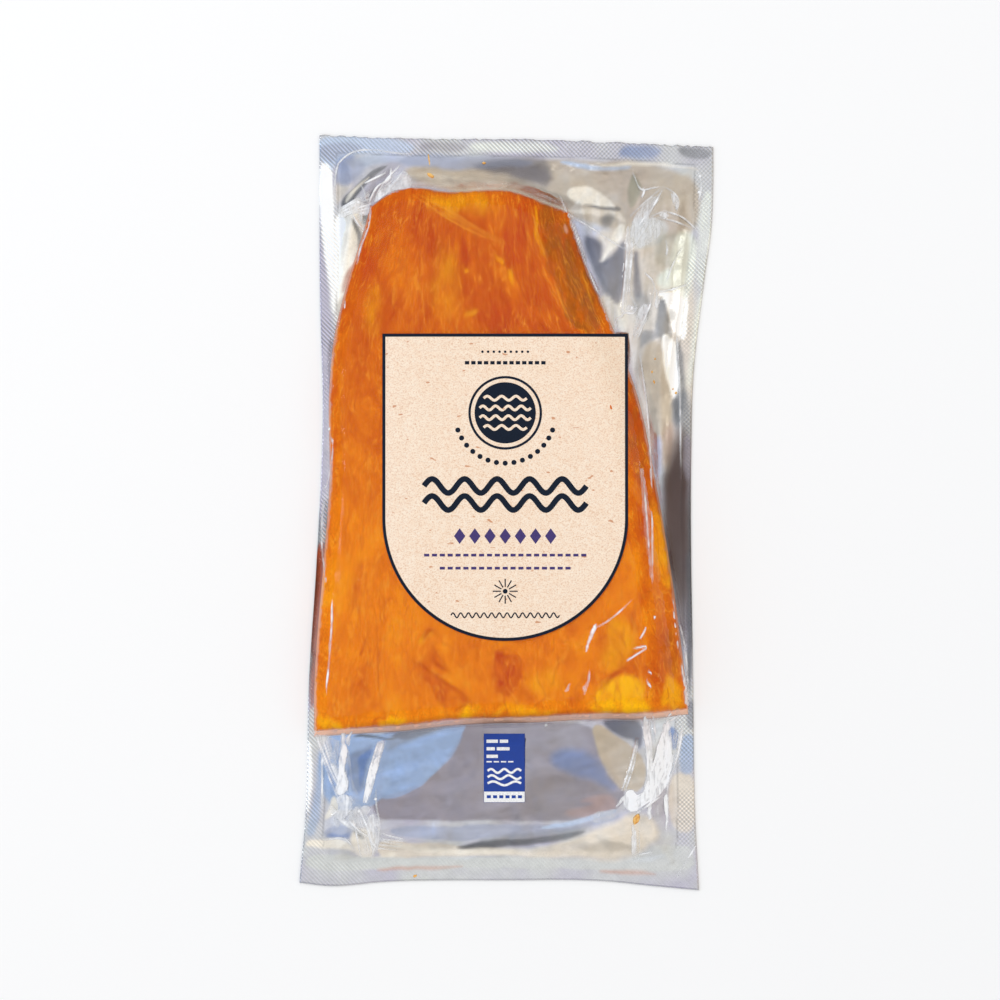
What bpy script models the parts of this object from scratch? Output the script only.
"""Smoked haddock fillet in a flat vacuum pack.

A foil backing sheet carries the fillet, and a clear film is drawn down over both and sealed round
the edge. A shield shaped paper label and a small sticker lie on the film. The pack lies on its back
with the fillet's tail end towards +Y. Metres, +Z up, origin under the middle of the pack.
"""

import bisect
import functools
import math

import bmesh
import bpy
import numpy as np

MM = 0.001

# Sheets and the gaps between pieces that touch
FOIL_THICKNESS = 0.5 * MM
FILM_THICKNESS = 0.35 * MM
LABEL_THICKNESS = 0.3 * MM
CONTACT_GAP = 0.3 * MM
FILM_CLEARANCE = 0.7 * MM
LABEL_CLEARANCE = 0.35 * MM
LABEL_BRIDGE = 4.5 * MM
STICKER_BRIDGE = 1.0 * MM
FILM_INSET = 0.4 * MM

# Edges of the pack in millimetres: the long ones as (y, x), the short ones as (x, y)
PACK_LEFT = ((-139.7, -76.6), (-132, -76.0), (-118, -74.6), (-60, -72.8), (-20, -70.2), (36, -67.8),
             (80, -68.8), (139.7, -69.0))
PACK_RIGHT = ((-139.7, 71.4), (-118, 70.2), (-60, 69.2), (20, 68.5), (52, 69.4), (88, 73.6),
              (106, 76.0), (122, 76.6), (139.7, 76.6))
PACK_BOTTOM = ((-76.6, -136.9), (-66, -138.1), (-45, -136.6), (0, -136.0), (37, -136.4),
               (55, -138.2), (71.4, -139.7))
PACK_TOP = ((-69, 139.7), (-48, 138.7), (20, 137.7), (55, 136.2), (76.6, 135.2))
OUTLINE_STEPS_LONG = 26
OUTLINE_STEPS_SHORT = 14
SEAL_WIDTH = 6.5 * MM

# Edges of the fillet in millimetres, given in the same way
FILLET_LEFT = ((-81, -70.2), (-66, -70.2), (-18, -66.7), (12, -64.5), (45, -64.6), (66, -62.6),
               (86, -57.6), (104, -52.0), (119, -48.0))
FILLET_RIGHT = ((-81, 67.4), (-66, 66.0), (-40, 62.9), (15, 55.1), (42, 49.5), (66, 39.8), (90, 29.4),
                (104, 24.4), (119, 20.6))
FILLET_BOTTOM = ((-71, -79.0), (-62, -80.8), (-28, -79.3), (0, -78.1), (50, -77.2), (68, -73.0))
FILLET_TOP = ((-53, 110.5), (-49, 113.6), (-43, 117.8), (-20, 118.3), (4, 118.0), (14, 114.2), (24, 110.4))

# Fillet: thickness in millimetres along its length as (y, thickness), thinner towards both sides
THICKNESS_ALONG = ((-80, 14.8), (-45, 16.6), (0, 15.6), (60, 12.6), (118, 9.0))
LEFT_RIM_SHARE = 0.42
LEFT_RISE = 34 * MM
RIGHT_RIM_SHARE = 0.50
RIGHT_SLOPE = 12 * MM
EDGE_RADIUS = 3.2 * MM
EDGE_SHARE = 0.45
FILLET_COLUMNS = 44
FILLET_ROWS = 60

# Relief of the flesh: a long furrow and the curved joints between its flakes
FURROW = ((-80, 6), (-40, 9), (20, 2), (118, -12))
FURROW_WIDTH = 5.0 * MM
FURROW_DEPTH = 0.9 * MM
FLAKE_PITCH = 13.5 * MM
FLAKE_SWEEP = 9.0 * MM
FLAKE_SWEEP_SPAN = 45 * MM
FLAKE_JOINT_WIDTH = 2.6 * MM
FLAKE_JOINT_DEPTH = 0.8 * MM

# Film: how far its tent runs out from the fillet for each part of height, and its grid
TENT_RUN_SHARE = 0.33
SMALLEST_TENT_RUN = 2.0 * MM
SHOULDER = 4.0 * MM
SHOULDER_DROP = 0.10
FILM_OVER_COLUMNS = 20
FILM_OVER_ROWS = 30
FILM_LEFT_COLUMNS = 6
FILM_RIGHT_COLUMNS = 8
FILM_END_ROWS = 9
FILM_CROWDING = 1.7

# Larger folds of the film, in millimetres: start x, start y, end x, end y, height, half width
FOLDS = (
    (-60, -84, -56, -112, 2.2, 3.0),
    (-45, -86, -52, -110, 1.8, 3.0),
    (-58, -106, -46, -124, 2.2, 4.0),
    (48, -80, 46, -108, 2.2, 3.0),
    (66, -80, 52, -106, 1.8, 3.0),
    (44, -106, 50, -126, 2.4, 4.0),
    (-48, -123, 44, -119, 1.6, 3.0),
    (-56, 126, -42, 112, 2.2, 4.0),
    (-60, 108, -62, 80, 1.6, 3.0),
    (60, 118, 46, 96, 2.4, 4.0),
    (60, 118, 70, 106, 1.8, 3.0),
    (45, 104, 45, 74, 1.6, 3.0),
    (10, 119, 45, 97, 1.2, 2.5),
)

# Shield shaped label: straight sides and a half round foot, and the small sticker
LABEL_RADIUS = 45.3 * MM
LABEL_CENTRE_X = -0.2 * MM
LABEL_TOP_Y = 66.0 * MM
LABEL_ARC_Y = -2.0 * MM
LABEL_COLUMNS = 18
LABEL_STRAIGHT_ROWS = 11
LABEL_ARC_ROWS = 9
LABEL_TIP_ANGLE = math.radians(86)
STICKER_SIZE = (15.2 * MM, 25.5 * MM)
STICKER_CENTRE = (-0.6 * MM, -94.5 * MM)
STICKER_COLUMNS = 3
STICKER_ROWS = 7

COLOURS = {
    "foil": (0.55, 0.57, 0.60),
    "fish": (0.74, 0.22, 0.03),
    "film": (0.86, 0.88, 0.90),
    "paper": (0.88, 0.70, 0.52),
    "sticker": (0.03, 0.08, 0.33),
}


@functools.cache
def curve_through(points):
    """Places, values and slopes, in metres, of (place, value) points in millimetres."""
    places, values = np.array(points).T * MM
    return places.tolist(), values.tolist(), np.gradient(values, places).tolist()


def smooth_through(points, place):
    """Value, in metres, of a smooth curve through (place, value) points in millimetres."""
    places, values, slopes = curve_through(points)
    place = min(max(place, places[0]), places[-1])
    i = min(bisect.bisect_right(places, place) - 1, len(places) - 2)
    step = places[i + 1] - places[i]
    t = (place - places[i]) / step
    rise = t * t * (3 - 2 * t)
    start_bend = t * (1 - t) ** 2 * step * slopes[i]
    end_bend = t * t * (1 - t) * step * slopes[i + 1]
    return values[i] + (values[i + 1] - values[i]) * rise + start_bend - end_bend


def ease(t):
    t = min(max(t, 0.0), 1.0)
    return t * t * (3 - 2 * t)


def mix(a, b, t):
    return a + (b - a) * t


def round_over(inside):
    """Share of the full height at a distance inside a rounded edge."""
    t = min(max(inside / EDGE_RADIUS, 0.0), 1.0)
    return mix(EDGE_SHARE, 1.0, math.sqrt(1 - (1 - t) ** 2))


def inside_fillet(x, y):
    """Distances from a point to the fillet's left, right, front and back edges, negative outside."""
    return (
        x - smooth_through(FILLET_LEFT, y),
        smooth_through(FILLET_RIGHT, y) - x,
        y - smooth_through(FILLET_BOTTOM, x),
        smooth_through(FILLET_TOP, x) - y,
    )


def slab_height(x, y):
    """Thickness of the flesh before its edges are rounded: thick along the back, thin at the flap."""
    left, right, _, _ = inside_fillet(x, y)
    left_share = mix(LEFT_RIM_SHARE, 1.0, ease(left / LEFT_RISE) ** 0.8)
    right_share = mix(RIGHT_RIM_SHARE, 1.0, ease(right / RIGHT_SLOPE))
    return smooth_through(THICKNESS_ALONG, y) * left_share * right_share


def fillet_height(x, y):
    return slab_height(x, y) * min(round_over(inside) for inside in inside_fillet(x, y))


def flesh_relief(x, y):
    """The furrow and the joints between flakes, as a depth below the smooth flesh."""
    off_furrow = x - smooth_through(FURROW, y)
    furrow = FURROW_DEPTH * math.exp(-((off_furrow / FURROW_WIDTH) ** 2))
    sweep = FLAKE_SWEEP * (1 - math.exp(-((off_furrow / FLAKE_SWEEP_SPAN) ** 2)))
    phase = (y + sweep) / FLAKE_PITCH
    off_joint = (phase - round(phase)) * FLAKE_PITCH
    joint = FLAKE_JOINT_DEPTH * math.exp(-((off_joint / FLAKE_JOINT_WIDTH) ** 2))
    nearest_edge = min(inside_fillet(x, y))
    return (furrow + joint) * ease(nearest_edge / (2 * EDGE_RADIUS))


def fillet_point(u, v):
    """A point of the fillet's plan, from 0 to 1 across and from its front cut to its tail cut."""
    y = mix(smooth_through(FILLET_BOTTOM, 0), smooth_through(FILLET_TOP, 0), v)
    for _ in range(3):
        x = mix(smooth_through(FILLET_LEFT, y), smooth_through(FILLET_RIGHT, y), u)
        y = mix(smooth_through(FILLET_BOTTOM, x), smooth_through(FILLET_TOP, x), v)
    return x, y


def crowded_ends(t):
    """Spreads grid lines so that they are twice as close at both ends."""
    return t - 0.08 * math.sin(2 * math.pi * t)


def fold_height(x, y):
    """Height that the nearest of the film's folds adds, fading out towards both of its ends."""
    highest = 0.0
    for x1, y1, x2, y2, height, half_width in FOLDS:
        run = np.array((x2 - x1, y2 - y1)) * MM
        start = np.array((x1, y1)) * MM
        along = float(np.dot((x, y) - start, run) / np.dot(run, run))
        held = min(max(along, 0.0), 1.0)
        off = float(np.linalg.norm((x, y) - (start + held * run)))
        shape = math.exp(-((off / (half_width * MM)) ** 2)) * math.sin(math.pi * mix(0.05, 0.95, held))
        highest = max(highest, height * MM * shape)
    return highest


def inside_pack(x, y):
    """Distance from a point inside the pack to its nearest edge."""
    return min(
        x - smooth_through(PACK_LEFT, y),
        smooth_through(PACK_RIGHT, y) - x,
        y - smooth_through(PACK_BOTTOM, x),
        smooth_through(PACK_TOP, x) - y,
    )


def film_height(x, y):
    """Height of the film's inner face over the foil: on the fillet, or a tight tent round it."""
    left, right, front, back = inside_fillet(x, y)
    off_side, off_end = max(-left, -right, 0.0), max(-front, -back, 0.0)
    outside = math.hypot(off_side, off_end)
    held_y = min(max(y, smooth_through(FILLET_BOTTOM, x)), smooth_through(FILLET_TOP, x))
    held_x = min(max(x, smooth_through(FILLET_LEFT, held_y)), smooth_through(FILLET_RIGHT, held_y))
    crest = slab_height(held_x, held_y) + FILM_CLEARANCE
    shoulder = 1 - SHOULDER_DROP * (1 - ease(min(left, right, front, back) / SHOULDER))
    run = max(TENT_RUN_SHARE * crest, SMALLEST_TENT_RUN)
    fall = max(1 - outside / run, 0.0) ** 1.7
    loose = ease((inside_pack(x, y) - SEAL_WIDTH * 0.6) / SEAL_WIDTH) * ease(outside / SHOULDER)
    return crest * shoulder * fall + fold_height(x, y) * loose


def film_point(column, row):
    """Plan point of the film's grid: its lines follow the fillet's edges and the pack's edges."""
    right_start = FILM_LEFT_COLUMNS + FILM_OVER_COLUMNS
    top_start = FILM_END_ROWS + FILM_OVER_ROWS
    u = crowded_ends(min(max((column - FILM_LEFT_COLUMNS) / FILM_OVER_COLUMNS, 0.0), 1.0))
    v = crowded_ends(min(max((row - FILM_END_ROWS) / FILM_OVER_ROWS, 0.0), 1.0))
    x, y = fillet_point(u, v)
    for _ in range(3):
        if row < FILM_END_ROWS:
            y = mix(smooth_through(PACK_BOTTOM, x) + FILM_INSET, smooth_through(FILLET_BOTTOM, x),
                    crowd_one_end(row / FILM_END_ROWS))
        elif row > top_start:
            y = mix(smooth_through(PACK_TOP, x) - FILM_INSET, smooth_through(FILLET_TOP, x),
                    crowd_one_end((top_start + FILM_END_ROWS - row) / FILM_END_ROWS))
        if column < FILM_LEFT_COLUMNS:
            x = mix(smooth_through(PACK_LEFT, y) + FILM_INSET, smooth_through(FILLET_LEFT, y),
                    crowd_one_end(column / FILM_LEFT_COLUMNS))
        elif column > right_start:
            x = mix(smooth_through(PACK_RIGHT, y) - FILM_INSET, smooth_through(FILLET_RIGHT, y),
                    crowd_one_end((right_start + FILM_RIGHT_COLUMNS - column) / FILM_RIGHT_COLUMNS))
    return x, y


def crowd_one_end(t):
    """Spreads grid lines between the pack's edge at 0 and the fillet at 1, closer at the fillet."""
    return 1 - (1 - t) ** FILM_CROWDING


def card_height(x, y, bridge):
    """Height of a label's underside, which spans the film's bends that are smaller than its bridge."""
    reach = (-bridge, 0.0, bridge)
    highest = max(film_height(x + across, y + along) for across in reach for along in reach)
    return FOIL_THICKNESS + CONTACT_GAP + highest + FILM_THICKNESS + LABEL_CLEARANCE


def make_material(name, colour, roughness, metallic=0.0, alpha=1.0):
    material = bpy.data.materials.new(name)
    material.use_nodes = True
    shader = material.node_tree.nodes["Principled BSDF"]
    shader.inputs["Base Color"].default_value = (*colour, 1.0)
    shader.inputs["Roughness"].default_value = roughness
    shader.inputs["Metallic"].default_value = metallic
    shader.inputs["Alpha"].default_value = alpha
    return material


def add_object(name, data, material, collection):
    made = bpy.data.objects.new(name, data)
    data.materials.append(material)
    collection.objects.link(made)
    return made


def grid_mesh(name, columns, rows, place):
    """An open grid sheet whose vertex at a column and a row goes to place(column, row)."""
    bm = bmesh.new()
    bmesh.ops.create_grid(bm, x_segments=columns, y_segments=rows, size=0.5)
    for vert in bm.verts:
        column = round((vert.co.x + 0.5) * columns)
        row = round((vert.co.y + 0.5) * rows)
        vert.co = place(column, row)
    mesh = bpy.data.meshes.new(name)
    bm.to_mesh(mesh)
    bm.free()
    mesh.shade_smooth()
    return mesh


def thicken(sheet, thickness):
    """Gives an open sheet its thickness on the side that faces up."""
    solidify = sheet.modifiers.new("Thickness", "SOLIDIFY")
    solidify.thickness = thickness
    solidify.offset = 1.0


def pack_outline():
    """Corner to corner points of the cut edge, counter clockwise from the lower left."""
    points = []
    for i in range(OUTLINE_STEPS_SHORT):
        x = mix(PACK_BOTTOM[0][0], PACK_BOTTOM[-1][0], i / OUTLINE_STEPS_SHORT) * MM
        points.append((x, smooth_through(PACK_BOTTOM, x)))
    right_low, right_high = PACK_BOTTOM[-1][1] * MM, PACK_TOP[-1][1] * MM
    for i in range(OUTLINE_STEPS_LONG):
        y = mix(right_low, right_high, i / OUTLINE_STEPS_LONG)
        points.append((smooth_through(PACK_RIGHT, y), y))
    for i in range(OUTLINE_STEPS_SHORT):
        x = mix(PACK_TOP[-1][0], PACK_TOP[0][0], i / OUTLINE_STEPS_SHORT) * MM
        points.append((x, smooth_through(PACK_TOP, x)))
    left_high, left_low = PACK_TOP[0][1] * MM, PACK_BOTTOM[0][1] * MM
    for i in range(OUTLINE_STEPS_LONG):
        y = mix(left_high, left_low, i / OUTLINE_STEPS_LONG)
        points.append((smooth_through(PACK_LEFT, y), y))
    return points


def make_foil_backing(collection):
    """A flat outline given thickness, with its underside on the ground."""
    curve = bpy.data.curves.new("foil_backing", "CURVE")
    curve.dimensions = "2D"
    curve.fill_mode = "BOTH"
    curve.extrude = FOIL_THICKNESS / 2
    points = pack_outline()
    spline = curve.splines.new("POLY")
    spline.points.add(len(points) - 1)
    for spline_point, (x, y) in zip(spline.points, points):
        spline_point.co = (x, y, 0, 1)
    spline.use_cyclic_u = True
    material = make_material("foil", COLOURS["foil"], 0.22, metallic=1.0)
    foil = add_object("foil_backing", curve, material, collection)
    foil.location.z = FOIL_THICKNESS / 2
    return foil


def make_haddock_fillet(collection):
    """A grid laid over the fillet's plan for its top, with its rim drawn down to a flat base."""
    base = FOIL_THICKNESS + CONTACT_GAP

    def place(column, row):
        x, y = fillet_point(crowded_ends(column / FILLET_COLUMNS), crowded_ends(row / FILLET_ROWS))
        return x, y, base + fillet_height(x, y) - flesh_relief(x, y)

    mesh = grid_mesh("haddock_fillet", FILLET_COLUMNS, FILLET_ROWS, place)
    bm = bmesh.new()
    bm.from_mesh(mesh)
    rim = [edge for edge in bm.edges if edge.is_boundary]
    drawn = bmesh.ops.extrude_edge_only(bm, edges=rim)["geom"]
    foot = [element for element in drawn if isinstance(element, bmesh.types.BMVert)]
    for vert in foot:
        vert.co.z = base
    bmesh.ops.edgeloop_fill(bm, edges=[e for e in drawn if isinstance(e, bmesh.types.BMEdge) and e.is_boundary])
    bmesh.ops.recalc_face_normals(bm, faces=bm.faces)
    bm.to_mesh(mesh)
    bm.free()
    mesh.shade_smooth()
    mesh.set_sharp_from_angle(angle=math.radians(50))
    material = make_material("smoked_flesh", COLOURS["fish"], 0.35)
    return add_object("haddock_fillet", mesh, material, collection)


def make_clear_film(collection):
    columns = FILM_LEFT_COLUMNS + FILM_OVER_COLUMNS + FILM_RIGHT_COLUMNS
    rows = FILM_OVER_ROWS + 2 * FILM_END_ROWS

    def place(column, row):
        x, y = film_point(column, row)
        return x, y, FOIL_THICKNESS + CONTACT_GAP + film_height(x, y)

    mesh = grid_mesh("clear_film", columns, rows, place)
    material = make_material("film", COLOURS["film"], 0.08, alpha=0.25)
    film = add_object("clear_film", mesh, material, collection)
    thicken(film, FILM_THICKNESS)
    return film


def make_front_label(collection):
    """A sheet with straight sides and a half round foot that follows the film."""
    rows = LABEL_ARC_ROWS + LABEL_STRAIGHT_ROWS

    def place(column, row):
        angle = LABEL_TIP_ANGLE * max(1 - row / LABEL_ARC_ROWS, 0.0)
        half_width = LABEL_RADIUS * math.cos(angle)
        straight = max(row - LABEL_ARC_ROWS, 0) / LABEL_STRAIGHT_ROWS
        y = mix(LABEL_ARC_Y, LABEL_TOP_Y, straight) - LABEL_RADIUS * math.sin(angle)
        x = LABEL_CENTRE_X + mix(-half_width, half_width, column / LABEL_COLUMNS)
        return x, y, card_height(x, y, LABEL_BRIDGE)

    mesh = grid_mesh("front_label", LABEL_COLUMNS, rows, place)
    label = add_object("front_label", mesh, make_material("label_paper", COLOURS["paper"], 0.7), collection)
    thicken(label, LABEL_THICKNESS)
    return label


def make_small_label(collection):
    """The small sticker on the film in front of the fillet."""
    def place(column, row):
        x = STICKER_CENTRE[0] + STICKER_SIZE[0] * (column / STICKER_COLUMNS - 0.5)
        y = STICKER_CENTRE[1] + STICKER_SIZE[1] * (row / STICKER_ROWS - 0.5)
        return x, y, card_height(x, y, STICKER_BRIDGE)

    mesh = grid_mesh("small_label", STICKER_COLUMNS, STICKER_ROWS, place)
    sticker = add_object("small_label", mesh, make_material("sticker", COLOURS["sticker"], 0.4), collection)
    thicken(sticker, LABEL_THICKNESS)
    return sticker


def clear_scene():
    for old in list(bpy.data.objects):
        bpy.data.objects.remove(old, do_unlink=True)


def build():
    clear_scene()
    pack = bpy.data.collections.new("haddock_pack")
    bpy.context.scene.collection.children.link(pack)
    make_foil_backing(pack)
    make_haddock_fillet(pack)
    make_clear_film(pack)
    make_front_label(pack)
    make_small_label(pack)


build()
